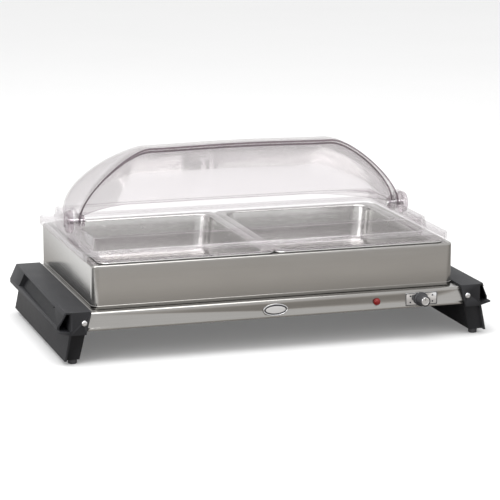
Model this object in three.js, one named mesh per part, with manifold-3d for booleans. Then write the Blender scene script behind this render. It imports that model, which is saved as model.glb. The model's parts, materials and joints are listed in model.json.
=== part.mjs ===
// Countertop steam table: a heated stainless tray on two moulded legs, a deck that holds
// two half-size pans, and a clear roll-top lid that pivots on two side hubs.
// Millimetres, +Z up, front towards -Y. The group's origin is under the middle of its box.
import * as THREE from 'three';
import { mergeVertices } from 'three/addons/utils/BufferGeometryUtils.js';
import Module from 'manifold-3d';

const wasm = await Module();
wasm.setup();

// ---------------------------------------------------------------- driving dimensions
const GAP = 0.3;                 // clearance between pieces that touch
const SHEET = 1.2;               // stainless sheet
const CLEAR = 3;                 // wall of the clear lid parts

const pan = { width: 264.5, depth: 325, rim: 12, rimEdge: 2.4, height: 60, draft: 8, wall: 1, corner: 22 };
const deck = { halfWidth: 277, front: -172.5, back: 164, height: 63.5, corner: 13, hem: 8 };
const tray = { front: -187, back: 158.5, bottom: 47.7, top: 74.4, edgeRadius: 4, hem: 9 };
const leg = {
  front: -190.7, back: 154.5, top: 76.9, innerTop: 282.2, innerBottom: 299.2, ridge: 319.4,
  tip: 329.9, tipHigh: 54.4, tipLow: 48.5, waist: 315.2, waistHeight: 44.5, outerBottom: 322.8,
  bottom: 6.7, wall: 3, footX: 308, footInset: 15, screwX: 293, screwZ: 60.5,
};
const controls = { plateX: 220, plateZ: 60.2, knobX: 219, lampX: 150, badgeX: -7.5, glandX: 205 };
const lid = {
  shift: -5, halfWidth: 279.3, front: -162.7, back: 154, corner: 14, flangeTop: 152, lipDepth: 10.7,
  wallHalfWidth: 258, wallFront: -122, wallBack: 131, wallTop: 169, draft: 3.2,
  axisY: 0, axisZ: 170, ledge: 11, earRadius: 20,
};
const dome = {
  radius: 109, halfLength: 253.6, flatHalf: 143, crown: 2, edgeY: -16, boss: 12, pinHole: 4.3,
  depth: 128, corner: 65, fullHalf: 258, fillFrom: 18, fillTo: 62,
};
const cover = { inset: 4.5, openAngle: 84, span: 95 };

const deckBottom = tray.top + GAP;
const deckTop = deckBottom + deck.height;
const wellY = (deck.front + deck.back) / 2;
const rimBottom = deckTop + GAP;
const legSlope = (leg.innerBottom - leg.innerTop) / (leg.top - leg.bottom);
const innerFaceX = (z) => leg.innerTop + (leg.top - z) * legSlope;

// ---------------------------------------------------------------- solids and booleans
function toSolid(geometry) {
  const bare = geometry.clone();
  bare.deleteAttribute('normal');
  bare.deleteAttribute('uv');
  const merged = mergeVertices(bare, 1e-4);
  return new wasm.Manifold(new wasm.Mesh({
    numProp: 3,
    vertProperties: new Float32Array(merged.attributes.position.array),
    triVerts: new Uint32Array(merged.index.array),
  }));
}

function toGeometry(solid) {
  const mesh = solid.getMesh();
  const geometry = new THREE.BufferGeometry();
  geometry.setAttribute('position', new THREE.BufferAttribute(new Float32Array(mesh.vertProperties), 3));
  geometry.setIndex(new THREE.BufferAttribute(new Uint32Array(mesh.triVerts), 1));
  return geometry;
}

const combine = (how) => (first, ...rest) =>
  toGeometry(rest.reduce((sum, next) => sum[how](toSolid(next)), toSolid(first)));
const join = combine('add');
const cut = combine('subtract');
const common = combine('intersect');

// ---------------------------------------------------------------- basic shapes
function box(x0, x1, y0, y1, z0, z1) {
  const shape = new THREE.BoxGeometry(x1 - x0, y1 - y0, z1 - z0);
  return shape.translate((x0 + x1) / 2, (y0 + y1) / 2, (z0 + z1) / 2);
}

function outline(points) {
  return new THREE.Shape(points.map(([a, b]) => new THREE.Vector2(a, b)));
}

function roundedOutline(width, depth, radius) {
  const x = width / 2;
  const y = depth / 2;
  const shape = new THREE.Shape();
  shape.moveTo(radius - x, -y);
  shape.lineTo(x - radius, -y);
  shape.absarc(x - radius, radius - y, radius, -Math.PI / 2, 0, false);
  shape.lineTo(x, y - radius);
  shape.absarc(x - radius, y - radius, radius, 0, Math.PI / 2, false);
  shape.lineTo(radius - x, y);
  shape.absarc(radius - x, y - radius, radius, Math.PI / 2, Math.PI, false);
  shape.lineTo(-x, radius - y);
  shape.absarc(radius - x, radius - y, radius, Math.PI, Math.PI * 1.5, false);
  return shape;
}

function extrude(shape, depth, curveSegments = 4) {
  return new THREE.ExtrudeGeometry(shape, { depth, bevelEnabled: false, curveSegments });
}

function prismAlongX(points, x0, x1) {
  const turn = new THREE.Matrix4().makeBasis(
    new THREE.Vector3(0, 1, 0), new THREE.Vector3(0, 0, 1), new THREE.Vector3(1, 0, 0));
  return extrude(outline(points), x1 - x0).applyMatrix4(turn).translate(x0, 0, 0);
}

function prismAlongY(points, y0, y1) {
  return extrude(outline(points), y1 - y0).rotateX(Math.PI / 2).translate(0, y1, 0);
}

// A slab with rounded corners, centred on cx, cy.
function slab(width, depth, radius, cx, cy, z0, z1) {
  return extrude(roundedOutline(width, depth, radius), z1 - z0).translate(cx, cy, z0);
}

// A tapered block whose outline is the given one at zSmall and grows towards zBig.
function taper(width, depth, radius, grow, cx, cy, zSmall, zBig) {
  const height = Math.abs(zBig - zSmall);
  const options = { depth: 1, bevelThickness: height, bevelSize: grow, bevelSegments: 1, curveSegments: 4 };
  const block = new THREE.ExtrudeGeometry(roundedOutline(width, depth, radius), options);
  const trimmed = common(block, box(-width, width, -depth, depth, -height, 0)).translate(0, 0, height);
  if (zBig < zSmall) trimmed.rotateX(Math.PI);
  return trimmed.translate(cx, cy, zSmall);
}

function rod(axis, radius, from, to, a, b, sides = 12) {
  const length = to - from;
  const middle = (from + to) / 2;
  const shape = new THREE.CylinderGeometry(radius, radius, length, sides);
  if (axis === 'x') return shape.rotateZ(Math.PI / 2).translate(middle, a, b);
  if (axis === 'y') return shape.translate(a, middle, b);
  return shape.rotateX(Math.PI / 2).translate(a, b, middle);
}

// A turned piece on an axis along -Y: profile points are [radius, distance towards the front].
function turnedToFront(profile, x, y, z, sides = 24) {
  const points = profile.map(([r, t]) => new THREE.Vector2(r, t));
  return new THREE.LatheGeometry(points, sides).rotateX(Math.PI).translate(x, y, z);
}

function tubeAlong(curve, radius, steps, sides) {
  const section = new THREE.Shape();
  section.absarc(0, 0, radius, 0, Math.PI * 2, false);
  return new THREE.ExtrudeGeometry(section, { steps, extrudePath: curve, curveSegments: sides, bevelEnabled: false });
}

function smoothPath(points) {
  return new THREE.CatmullRomCurve3(points.map((p) => new THREE.Vector3(...p)), false, 'centripetal');
}

// ---------------------------------------------------------------- finishes and assembly
const finish = (color, roughness, metalness) => new THREE.MeshStandardMaterial({ color, roughness, metalness });
const steel = finish(0x9c9a95, 0.34, 1);
const panSteel = finish(0xb4b3b0, 0.25, 1);
const brightSteel = finish(0xc9c9c9, 0.2, 1);
const blackPlastic = finish(0x2c2c30, 0.6, 0);
const darkPlastic = finish(0x3a3a3e, 0.5, 0);
const clearPlastic = finish(0xe6e6ea, 0.08, 0);
const rubber = finish(0x17171a, 0.85, 0);
const redLens = finish(0xb01a18, 0.15, 0);
const aluminium = finish(0xb9bcc0, 0.45, 1);
const blanket = finish(0xd8d4c4, 0.95, 0);
const whiteEnamel = finish(0xe9e9e9, 0.3, 0);
const ceramic = finish(0xd9d6cc, 0.55, 0);
const brass = finish(0xb08d4a, 0.35, 1);
const wire = finish(0x8a3a2a, 0.6, 0);

const unit = new THREE.Group();

function add(name, geometry, material) {
  const mesh = new THREE.Mesh(geometry, material);
  mesh.name = name;
  unit.add(mesh);
  return mesh;
}

const sides = [['left', -1], ['right', 1]];
const ends = [['front', -1], ['back', 1]];

// ---------------------------------------------------------------- heated tray
// The section of the tray's skin across its depth, with rounded top edges.
function traySection(inset) {
  const front = tray.front + inset;
  const back = tray.back - inset;
  const top = tray.top - inset;
  const radius = tray.edgeRadius - inset;
  const shape = new THREE.Shape();
  shape.moveTo(front, tray.bottom + inset);
  shape.lineTo(back, tray.bottom + inset);
  shape.lineTo(back, top - radius);
  shape.absarc(back - radius, top - radius, radius, 0, Math.PI / 2, false);
  shape.lineTo(front + radius, top);
  shape.absarc(front + radius, top - radius, radius, Math.PI / 2, Math.PI, false);
  return shape.extractPoints(4).shape.map((p) => [p.x, p.y]);
}

// The tray's ends lean with the inner faces of the legs.
function trayEnds(inset) {
  const reach = (z) => innerFaceX(z) - GAP - inset;
  const low = tray.bottom - 1;
  const high = tray.top + 1;
  const points = [[-reach(low), low], [reach(low), low], [reach(high), high], [-reach(high), high]];
  return prismAlongY(points, tray.front - 1, tray.back + 1);
}

const coverScrewX = 102;
const coverScrewY = { front: tray.front + 6.5, back: tray.back - 6.5 };
const bracketBolt = { y: { front: -120, back: 88 }, z: 54.4, radius: 2, head: 3.8 };

function trayShell() {
  const half = innerFaceX(tray.bottom) + 2;
  const outer = common(prismAlongX(traySection(0), -half, half), trayEnds(0));
  const inner = common(prismAlongX(traySection(SHEET), -half, half), trayEnds(SHEET));
  const mouthHalf = innerFaceX(tray.bottom) - GAP - tray.hem;
  const mouth = box(-mouthHalf, mouthHalf, tray.front + tray.hem, tray.back - tray.hem, tray.bottom - 1, tray.bottom + 3);
  const { knobX, lampX, plateZ, glandX, badgeX } = controls;
  const holes = [
    rod('y', 5.2, tray.front - 2, tray.front + 4, knobX, plateZ),
    rod('y', 4.4, tray.front - 2, tray.front + 4, lampX, plateZ),
    rod('y', 8.3, tray.back - 4, tray.back + 2, glandX, plateZ),
    ...[-1, 1].map((s) => rod('y', 1.6, tray.front - 2, tray.front + 4, badgeX + s * 12, plateZ - 0.5, 10)),
    ...[-1, 1].flatMap((s) => Object.values(bracketBolt.y).map((y) =>
      rod('x', bracketBolt.radius + 0.6, s > 0 ? 280 : -296, s > 0 ? 296 : -280, y, bracketBolt.z, 12))),
    ...[-1, 1].flatMap((s) => Object.values(coverScrewY).map((y) =>
      rod('z', 2.2, tray.bottom - 1, tray.bottom + 3, s * coverScrewX, y, 12))),
  ];
  return cut(outer, inner, mouth, ...holes);
}

function bottomCover() {
  const half = innerFaceX(tray.bottom) - GAP - SHEET - 2;
  const z0 = tray.bottom + SHEET + GAP;
  const depth = tray.back - tray.front - 2 * SHEET - 1;
  const plate = slab(2 * half - 4, depth, 6, 0, (tray.front + tray.back) / 2, z0, z0 + 1);
  const screwHoles = [-1, 1].flatMap((s) => Object.values(coverScrewY).map((y) =>
    rod('z', 2.2, z0 - 1, z0 + 2, s * coverScrewX, y, 12)));
  const slots = [];
  for (let column = -2; column <= 2; column += 1) {
    for (const y of [-60, 30]) {
      slots.push(box(column * 90 - 2, column * 90 + 2, y - 20, y + 20, z0 - 1, z0 + 2));
    }
  }
  return cut(plate, ...screwHoles, ...slots);
}

function coverScrew(x, y) {
  const headTop = tray.bottom - GAP;
  const head = rod('z', 4, headTop - 1.6, headTop, x, y);
  const shank = rod('z', 1.8, headTop - 0.5, tray.bottom + 6, x, y, 12);
  return cut(join(head, shank), box(x - 2.6, x + 2.6, y - 0.5, y + 0.5, headTop - 2, headTop - 0.9));
}

add('tray_shell', trayShell(), steel);
add('bottom_cover', bottomCover(), steel);
for (const [sideName, s] of sides) {
  for (const [endName] of ends) {
    add(`cover_screw_${endName}_${sideName}`, coverScrew(s * coverScrewX, coverScrewY[endName]), brightSteel);
  }
}

// ---------------------------------------------------------------- heating pack
const heater = { halfX: 236, front: -136, back: 108, plateTop: tray.top - SHEET - GAP, runs: 6, tube: 3.2 };
const plateBottom = heater.plateTop - 1.5;
const tubeZ = plateBottom - GAP - heater.tube;

function elementPath() {
  const path = new THREE.CurvePath();
  const pitch = (heater.back - heater.front - 60) / (heater.runs - 1);
  const firstY = heater.front + 30;
  const reach = heater.halfX - 36;
  const at = (x, y) => new THREE.Vector3(x, y, tubeZ);
  for (let run = 0; run < heater.runs; run += 1) {
    const y = firstY + run * pitch;
    const s = run % 2 === 0 ? 1 : -1;
    path.add(new THREE.LineCurve3(at(s * reach, y), at(-s * reach, y)));
    if (run < heater.runs - 1) {
      const bulge = -s * (reach + pitch * 0.66);
      path.add(new THREE.CubicBezierCurve3(
        at(-s * reach, y), at(bulge, y), at(bulge, y + pitch), at(-s * reach, y + pitch)));
    }
  }
  return path;
}

function clampBar(x) {
  const z1 = tubeZ - heater.tube - GAP;
  return box(x - 7, x + 7, heater.front + 18, heater.back - 18, z1 - 1.5, z1);
}

const blanketTop = tubeZ - heater.tube - GAP - 1.5 - GAP;
const heaterY = (heater.front + heater.back) / 2;
add('heat_spreader_plate',
  slab(2 * heater.halfX, heater.back - heater.front, 8, 0, heaterY, plateBottom, heater.plateTop), aluminium);
add('heating_element', tubeAlong(elementPath(), heater.tube, 84, 3), steel);
for (const [sideName, s] of sides) add(`element_clamp_${sideName}`, clampBar(s * 120), aluminium);
add('insulation_blanket',
  slab(2 * heater.halfX - 20, heater.back - heater.front - 20, 12, 0, heaterY, tray.bottom + 4, blanketTop), blanket);

// ---------------------------------------------------------------- controls on the front
const skin = tray.front;          // front face of the tray
const plateThickness = 0.8;
const plateFace = skin - GAP - plateThickness;

function controlPlate() {
  const plate = extrude(roundedOutline(50.5, 19.5, 2.5), plateThickness).rotateX(Math.PI / 2);
  plate.translate(controls.plateX, skin - GAP, controls.plateZ);
  return cut(plate, rod('y', 5.2, skin - 3, skin + 1, controls.knobX, controls.plateZ));
}

function thermostatBody() {
  const { knobX: x, plateZ: z } = controls;
  const back = skin + SHEET + GAP;
  const body = box(x - 17, x + 17, back + 1.5, back + 26, z - 9, z + 9);
  const collar = rod('y', 9, back, back + 2, x, z);
  const bush = rod('y', 4.8, plateFace - 3.4, back + 1, x, z);
  const bore = rod('y', 3.3, plateFace - 5, back + 14, x, z);
  return cut(join(body, collar, bush), bore);
}

function hexNut(x, y0, y1, z) {
  return cut(rod('y', 7.6, y0, y1, x, z, 6), rod('y', 5.1, y0 - 1, y1 + 1, x, z));
}

const knob = { back: plateFace - 0.9, face: plateFace - 19.6 };

function controlKnob() {
  const profile = [
    [9.6, 0], [10.6, 0.4], [10.6, 2.6], [8.9, 3.6], [7.9, 18], [7.2, 18.7], [6.6, 18.7], [6.6, 17.2],
    [0, 17.2], [0, 14], [3.3, 14], [3.3, 5.2], [8.3, 5.2], [8.3, 0],
  ];
  const turned = turnedToFront([...profile, profile[0]], controls.knobX, knob.back, controls.plateZ, 20);
  const mark = box(controls.knobX - 0.6, controls.knobX + 0.6, knob.face - 1, knob.face + 16,
    controls.plateZ + 8.3, controls.plateZ + 12);
  return cut(turned, mark);
}

function knobCap() {
  const cap = rod('y', 6.2, knob.face - 0.1, knob.face + 1.2, controls.knobX, controls.plateZ, 20);
  const line = box(controls.knobX - 0.5, controls.knobX + 0.5, knob.face - 1, knob.face + 0.4,
    controls.plateZ + 1.5, controls.plateZ + 5.4);
  return cut(cap, line);
}

function lampLens() {
  const profile = [[0, 0], [5.2, 0], [5.2, 1.2], [4.4, 3], [2.6, 4.2], [0, 4.6]];
  return turnedToFront(profile, controls.lampX, skin - GAP, controls.plateZ, 20);
}

function ovalPlate(width, height, x, y0, y1, z) {
  const oval = new THREE.Shape();
  oval.absellipse(0, 0, width / 2, height / 2, 0, Math.PI * 2, false, 0);
  return extrude(oval, y1 - y0, 10).rotateX(Math.PI / 2).translate(x, y1, z);
}

function badgeRing() {
  const { badgeX: x, plateZ } = controls;
  const z = plateZ - 0.5;
  const face = skin - GAP;
  const plate = ovalPlate(38, 18.5, x, face - 1.8, face, z);
  const recess = ovalPlate(34.6, 15.1, x, face - 3, face - 0.7, z);
  const pins = [-1, 1].map((s) => rod('y', 1.3, face - 0.3, face + 4, x + s * 12, z, 10));
  return join(cut(plate, recess), ...pins);
}

add('control_plate', controlPlate(), brightSteel);
add('thermostat_body', thermostatBody(), ceramic);
add('thermostat_nut', hexNut(controls.knobX, plateFace - 3, plateFace - GAP, controls.plateZ), brass);
add('thermostat_shaft', rod('y', 3, plateFace - 14, skin + 12, controls.knobX, controls.plateZ), brightSteel);
add('control_knob', controlKnob(), darkPlastic);
add('knob_cap', knobCap(), brightSteel);
add('pilot_lamp_lens', lampLens(), redLens);
add('pilot_lamp_body', rod('y', 4.1, skin + GAP - 0.1, skin + 20, controls.lampX, controls.plateZ), blackPlastic);
add('badge_ring', badgeRing(), brightSteel);
add('badge_inlay',
  ovalPlate(34, 14.5, controls.badgeX, skin - GAP - 1.3, skin - GAP - 1, controls.plateZ - 0.5), blackPlastic);
add('badge_face',
  ovalPlate(30, 10.5, controls.badgeX, skin - GAP - 1.9, skin - GAP - 1.6, controls.plateZ - 0.5), whiteEnamel);

// ---------------------------------------------------------------- wiring inside the tray
function cordGland() {
  const { glandX: x, plateZ: z } = controls;
  const flange = rod('y', 11, tray.back + GAP, tray.back + 4, x, z, 20);
  const body = rod('y', 7.9, tray.back - 9, tray.back + 1, x, z, 20);
  const nose = rod('y', 7, tray.back + 3, tray.back + 7, x, z, 20);
  return cut(join(flange, body, nose), rod('y', 3.7, tray.back - 12, tray.back + 12, x, z));
}

function terminalBlock() {
  const block = box(128, 168, 124, 140, tray.bottom + 4, tray.bottom + 16);
  const cuts = [138, 148, 158].flatMap((x) => [
    rod('z', 2.6, tray.bottom + 9, tray.bottom + 18, x, 132, 10),
    rod('y', 1.8, 120, 144, x, tray.bottom + 8, 10),
  ]);
  return cut(block, ...cuts);
}

function thermalFuse() {
  const z = heater.plateTop - 8;
  const can = rod('z', 8, z, z + 7, 110, heater.front - 14, 18);
  const tabs = [-1, 1].map((s) => box(110 + s * 9.5 - 3, 110 + s * 9.5 + 3, heater.front - 16, heater.front - 12, z, z + 1));
  return join(can, ...tabs);
}

const loomZ = tray.bottom + 9;
const loomPath = smoothPath([
  [169.5, 132, loomZ], [215, 131, loomZ], [252, 126, loomZ], [266, 106, loomZ], [268, 60, loomZ],
  [268, -60, loomZ], [266, -112, loomZ], [256, -134, loomZ], [236, -146, loomZ], [226, -156.5, loomZ + 2],
]);

add('cord_gland', cordGland(), blackPlastic);
add('terminal_block', terminalBlock(), ceramic);
add('thermal_fuse', thermalFuse(), ceramic);
add('wiring_loom', tubeAlong(loomPath, 2.4, 40, 3), wire);
add('sensor_bulb', rod('x', 2.6, 20, 90, heater.front - 12, heater.plateTop - 3.2, 12), brass);

// ---------------------------------------------------------------- moulded legs
const legPoints = (s, points) => points.map(([x, z]) => [s * x, z]);

// The block at the top of the leg carries the tray; the splayed wall below it stands on the feet.
function legOuter(s) {
  return prismAlongY(legPoints(s, [
    [leg.innerTop, leg.top], [leg.ridge, leg.top], [leg.tip, leg.tipHigh], [leg.tip, leg.tipLow],
    [leg.waist, leg.waistHeight], [leg.outerBottom, leg.bottom], [leg.innerBottom, leg.bottom],
  ]), leg.front, leg.back);
}

// The bracket bay behind the block's front face.
function bracketBay(s) {
  const low = leg.waistHeight + leg.wall;
  const high = leg.top - leg.wall;
  return prismAlongY(legPoints(s, [
    [innerFaceX(low) + leg.wall, low], [innerFaceX(high) + leg.wall, high],
    [leg.waist - 5, high], [leg.waist - 5, low],
  ]), leg.front + leg.wall, leg.back - leg.wall);
}

// The open end of the moulding, next to the block's front face.
function openEnd(s) {
  const high = leg.top - leg.wall;
  return prismAlongY(legPoints(s, [
    [leg.waist - 1.6, high], [leg.ridge - 1.6, high], [leg.tip - leg.wall, leg.tipHigh],
    [leg.tip - leg.wall, leg.tipLow + 2], [leg.waist - 1.6, leg.waistHeight + 4],
  ]), leg.front - 1, leg.front + 78);
}

// The hand hold: a scoop in the sloping outer face, deepest at its back end.
const handHoldBack = 82;
function handHold(s) {
  const start = leg.front - 2;
  const scoop = prismAlongY(legPoints(s, [
    [leg.ridge + 1.2, leg.top - 2.5], [leg.ridge + 13, leg.top + 3], [leg.tip + 9, leg.tipHigh + 2],
    [leg.tip - 0.5, leg.tipHigh + 1.6], [leg.tip - 7, leg.tipHigh + 1], [leg.ridge - 5, leg.top - 6],
  ]), 0, handHoldBack - start);
  return scoop.rotateZ(s * 0.026).translate(s * 6.5, start, 0);
}

// Between the two foot columns the splayed wall is hollow and open underneath.
function hollow(s, y0, y1, inner, outer) {
  const low = leg.bottom - 1;
  const high = leg.waistHeight - 1;
  const outerX = (z) => leg.waist + (leg.waistHeight - z) * (leg.outerBottom - leg.waist) / (leg.waistHeight - leg.bottom);
  return prismAlongY(legPoints(s, [
    [innerFaceX(low) + inner, low], [innerFaceX(high) + inner, high],
    [outerX(high) - outer, high], [outerX(low) - outer, low],
  ]), y0, y1);
}

// The foot columns stand back from the leg's end faces, and the outer wall runs on past them.
function endRecess(s, y0, y1) {
  const low = leg.bottom - 1;
  const high = leg.waistHeight - 1;
  return prismAlongY(legPoints(s, [
    [innerFaceX(low) - 2, low], [innerFaceX(high) - 2, high],
    [leg.waist - leg.wall, high], [leg.outerBottom - leg.wall, low],
  ]), y0, y1);
}

function frontCorner(s) {
  const slanted = new THREE.Shape();
  slanted.moveTo(s * (leg.waist - 6), leg.front - 1);
  slanted.lineTo(s * (leg.tip + 4), leg.front + 16);
  slanted.lineTo(s * (leg.tip + 4), leg.front - 1);
  return extrude(slanted, 60).translate(0, 0, leg.waistHeight + 6);
}

function moulding(s) {
  const span = leg.wall + 33;
  const screwHoles = [leg.front, leg.back].map((y) => rod('y', 2.7, y - 5, y + 5, s * leg.screwX, leg.screwZ, 12));
  const boltHoles = Object.values(bracketBolt.y).map((y) =>
    rod('x', bracketBolt.radius + 0.6, s > 0 ? 280 : -296, s > 0 ? 296 : -280, y, bracketBolt.z, 12));
  return cut(
    legOuter(s), bracketBay(s), openEnd(s), handHold(s), frontCorner(s),
    hollow(s, leg.front + span, leg.back - span, leg.wall, leg.wall),
    endRecess(s, leg.front - 1, leg.front + 8), endRecess(s, leg.back - 8, leg.back + 1),
    ...screwHoles, ...boltHoles);
}

function legBracket(s) {
  const webLow = tray.bottom + 2.2;
  const webX = innerFaceX(tray.bottom) + leg.wall + GAP;
  const [x0, x1] = [webX, webX + 3];
  const web = box(x0, x1, leg.front + leg.wall + GAP, leg.back - leg.wall - GAP, webLow, webLow + 7.5);
  const flangeHigh = leg.screwZ + 8.5;
  const wallX = (z) => innerFaceX(z) + leg.wall + GAP;
  const flangePoints = [[wallX(webLow), webLow], [x0 + 14, webLow], [x0 + 14, flangeHigh], [wallX(flangeHigh), flangeHigh]];
  const flanges = [leg.front + leg.wall + GAP, leg.back - leg.wall - GAP - 2].map((y) =>
    prismAlongY(flangePoints, y, y + 2));
  const whole = join(web, ...flanges);
  const holes = [leg.front, leg.back].map((y) => rod('y', 2.7, y - 8, y + 8, leg.screwX, leg.screwZ, 12));
  const boltHoles = Object.values(bracketBolt.y).map((y) =>
    rod('x', bracketBolt.radius + 0.6, 280, 305, y, bracketBolt.z, 12));
  const bracket = cut(whole, ...holes, ...boltHoles);
  return s > 0 ? bracket : mirrored(bracket);
}

// Mirrors a piece in x = 0 and keeps its faces pointing out.
function mirrored(geometry) {
  const flipped = geometry.clone().scale(-1, 1, 1);
  const index = flipped.index.array;
  for (let i = 0; i < index.length; i += 3) [index[i], index[i + 1]] = [index[i + 1], index[i]];
  return flipped;
}

// A button-head screw: the head sits outside the leg's end face.
function legScrew(s, end, y) {
  const profile = [[0, -12], [2.3, -12], [2.3, 0], [4.4, 0], [4.2, 1.2], [2.9, 2.3], [1.9, 2.5], [1.9, 0.8], [0, 0.8]];
  const screw = turnedToFront(profile, 0, 0, 0, 12);
  if (end > 0) screw.rotateZ(Math.PI);
  return screw.translate(s * leg.screwX, y + end * GAP, leg.screwZ);
}

function boltThroughTray(s, y) {
  const z = bracketBolt.z;
  const face = innerFaceX(z + bracketBolt.head) - GAP - SHEET - GAP - 0.2;
  const head = rod('x', bracketBolt.head, face - 3.4, face, y, z, 6);
  const bolt = join(head, rod('x', bracketBolt.radius, face - 1, face + 14, y, z, 12));
  return s > 0 ? bolt : mirrored(bolt);
}

function rubberFoot(s, y) {
  const profile = [[0, 0], [5.6, 0], [6.6, 1.4], [6.6, leg.bottom - GAP], [0, leg.bottom - GAP]];
  const foot = new THREE.LatheGeometry(profile.map(([r, z]) => new THREE.Vector2(r, z)), 14);
  return foot.rotateX(Math.PI / 2).translate(s * leg.footX, y, 0);
}

for (const [sideName, s] of sides) {
  add(`${sideName}_leg`, moulding(s), blackPlastic);
  add(`${sideName}_leg_bracket`, legBracket(s), steel);
  for (const [endName, end] of ends) {
    const face = end < 0 ? leg.front : leg.back;
    add(`leg_screw_${endName}_${sideName}`, legScrew(s, end, face), brightSteel);
    add(`bracket_bolt_${endName}_${sideName}`, boltThroughTray(s, bracketBolt.y[endName]), brightSteel);
    add(`foot_${endName}_${sideName}`, rubberFoot(s, face - end * leg.footInset), rubber);
  }
}

// ---------------------------------------------------------------- deck that holds the pans
const opening = { halfX: 253, halfY: 151.5, corner: 20 };

function deckShell() {
  const width = 2 * deck.halfWidth;
  const depth = deck.back - deck.front;
  const outer = slab(width, depth, deck.corner, 0, wellY, deckBottom, deckTop);
  const inner = slab(width - 2 * SHEET, depth - 2 * SHEET, deck.corner - SHEET, 0, wellY,
    deckBottom + SHEET, deckTop - SHEET);
  const mouth = slab(width - 2 * deck.hem, depth - 2 * deck.hem, deck.corner, 0, wellY, deckBottom - 1, deckBottom + 3);
  const well = slab(2 * opening.halfX, 2 * opening.halfY, opening.corner, 0, wellY, deckTop - 3, deckTop + 1);
  return cut(outer, inner, mouth, well);
}

function dividerBar() {
  const reach = opening.halfY - GAP;
  const bar = box(-11, 11, wellY - reach, wellY + reach, deckTop - 2.4, deckTop);
  const tabs = [-1, 1].map((end) => {
    const near = wellY + end * (reach - 6);
    const far = wellY + end * (reach + 8);
    return box(-9, 9, Math.min(near, far), Math.max(near, far), deckTop - 3.2, deckTop - SHEET - GAP);
  });
  const web = box(-1, 1, wellY - reach + 10, wellY + reach - 10, deckTop - 14, deckTop - 2);
  return join(bar, ...tabs, web);
}

// A half-size pan: a tapered tub under a flat rim with a turned-down edge.
function steamPan(s) {
  const cx = s * (pan.width / 2 + GAP / 2);
  const top = rimBottom + pan.rimEdge;
  const tubWidth = pan.width - 2 * pan.rim;
  const tubDepth = pan.depth - 2 * pan.rim;
  const floor = top - pan.height;
  const outer = taper(tubWidth - 2 * pan.draft, tubDepth - 2 * pan.draft, pan.corner, pan.draft, cx, wellY, floor, top);
  const inner = taper(tubWidth - 2 * pan.draft - 2 * pan.wall, tubDepth - 2 * pan.draft - 2 * pan.wall,
    pan.corner - pan.wall, pan.draft, cx, wellY, floor + pan.wall, top + pan.wall);
  const rim = slab(pan.width - GAP, pan.depth, 14, cx, wellY, rimBottom, top);
  const under = cut(
    slab(pan.width - 2 * pan.wall, pan.depth - 2 * pan.wall, 13, cx, wellY, rimBottom - 1, top - pan.wall),
    slab(tubWidth - 4, tubDepth - 4, pan.corner, cx, wellY, rimBottom - 2, top));
  return cut(join(cut(rim, under), outer), inner);
}

add('deck_shell', deckShell(), steel);
add('deck_divider', dividerBar(), steel);
for (const [sideName, s] of sides) add(`${sideName}_pan`, steamPan(s), panSteel);

// ---------------------------------------------------------------- clear roll-top lid
// The lid's shells are turned about the hub axis. This is their half profile, as
// distance along the axis and radius, for a shell lying the given inset inside the dome.
function domeProfile(inset) {
  const radius = dome.radius - inset;
  const reach = dome.halfLength - inset;
  const flat = new THREE.Vector2(dome.flatHalf, radius - dome.crown);
  const shoulder = new THREE.CubicBezierCurve(
    flat, new THREE.Vector2(dome.flatHalf + 33, flat.y), new THREE.Vector2(reach, 38), new THREE.Vector2(reach, dome.pinHole));
  return [new THREE.Vector2(0, radius), ...shoulder.getPoints(7)];
}

const bothHalves = (half) => [...half.slice(1).map((p) => new THREE.Vector2(-p.x, p.y)).reverse(), ...half];

function turnedShell(inset) {
  const outer = bothHalves(domeProfile(inset));
  const inner = bothHalves(domeProfile(inset + CLEAR)).reverse();
  const ring = [...outer, ...inner, outer[0]].map((p) => new THREE.Vector2(p.y, p.x));
  const shell = new THREE.LatheGeometry(ring, 40).rotateZ(-Math.PI / 2);
  return shell.translate(lid.shift, lid.axisY, lid.axisZ);
}

const far = 400;
const earFace = lid.wallHalfWidth + 2.8;   // outer face of the round ears that hold the hub pins
const hubBand = (radius) => rod('x', radius, -far, far, lid.axisY, lid.axisZ, 20);

// The rear dome is a row of arches. Behind the hubs they fill out to the width of the walls,
// and towards the back they sink on a quarter ellipse and round off the plan's corners.
function fullProfile(inset) {
  const top = dome.radius - inset - dome.crown;
  const reach = dome.fullHalf - inset;
  const shoulder = new THREE.CubicBezierCurve(
    new THREE.Vector2(dome.flatHalf, top), new THREE.Vector2(dome.flatHalf + 36, top),
    new THREE.Vector2(reach, 64), new THREE.Vector2(reach, dome.pinHole));
  return [new THREE.Vector2(0, dome.radius - inset), ...shoulder.getPoints(7)];
}

function domeArch(inset, y) {
  const depth = dome.depth - inset;
  const rise = Math.sqrt(Math.max(0, 1 - (Math.max(y, 0) / depth) ** 2));
  const fill = THREE.MathUtils.smoothstep(y, dome.fillFrom, dome.fillTo);
  const round = dome.corner - inset;
  const intoCorner = Math.max(0, y - (depth - round));
  const widest = dome.fullHalf - inset;
  const plan = (widest - round + Math.sqrt(Math.max(0, round ** 2 - intoCorner ** 2))) / widest;
  const full = fullProfile(inset);
  return domeProfile(inset).map((p, i) => new THREE.Vector2(
    THREE.MathUtils.lerp(p.x, full[i].x, fill) * plan, THREE.MathUtils.lerp(p.y, full[i].y, fill) * rise));
}

const domeStations = (inset) =>
  Array.from({ length: 10 }, (_, k) => (dome.depth - inset) * Math.sin(THREE.MathUtils.degToRad(k * 10)));

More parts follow.
